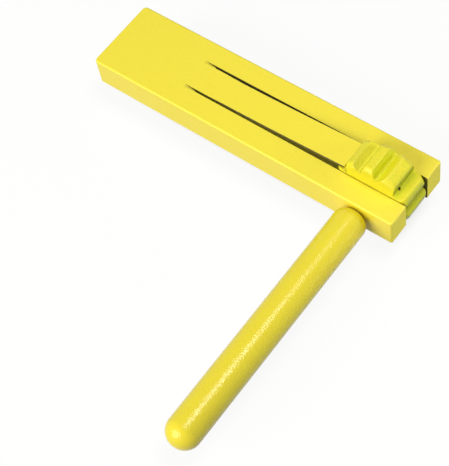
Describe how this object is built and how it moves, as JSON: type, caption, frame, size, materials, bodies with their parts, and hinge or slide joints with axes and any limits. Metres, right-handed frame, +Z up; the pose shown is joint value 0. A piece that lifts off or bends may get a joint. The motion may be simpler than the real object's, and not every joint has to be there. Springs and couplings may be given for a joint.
{
  "type": "ratchet noisemaker",
  "caption": "Painted wooden ratchet noisemaker: a forked block whirls round a straight handle while a sprung tongue sawn out of the block clicks over a fluted wheel.",
  "frame": {"origin": "on the ground, under the middle of the whole object with its block level", "axes": "+X along the block towards its fork, +Y away from the handle along the axle, +Z up out of the face that the tongue is sawn in"},
  "size_m": [0.2006, 0.202, 0.0456],
  "materials": {
    "block_paint": "glossy yellow paint on wood",
    "tongue_paint": "glossy yellow paint on wood",
    "wheel_paint": "yellow paint on turned wood, uneven in the flutes",
    "handle_paint": "glossy yellow paint on turned wood",
    "bare_beech": "bare turned wood",
    "pin_steel": "dark steel"
  },
  "bodies": {
    "frame": {"frame_block": "block_paint"},
    "tongue": {"tongue": "tongue_paint"},
    "handle": {"handle": "handle_paint", "axle": "bare_beech", "ratchet_wheel": "wheel_paint", "wheel_pin": "pin_steel"}
  },
  "joints": [
    {"name": "handle_spin", "type": "hinge", "parent": "frame", "child": "handle", "pos_m": [0.07765, 0.07765, 0.02259], "axis": [0, 1, 0], "continuous": true, "deforming": ["tongue"]},
    {"name": "tongue_flex", "type": "hinge", "parent": "frame", "child": "tongue", "pos_m": [-0.03, 0.07765, 0.03129], "axis": [0, -1, 0], "range_deg": [0, 4.5], "stiffness_Nm_per_rad": 2.45, "springref_deg": -2.12}
  ]
}
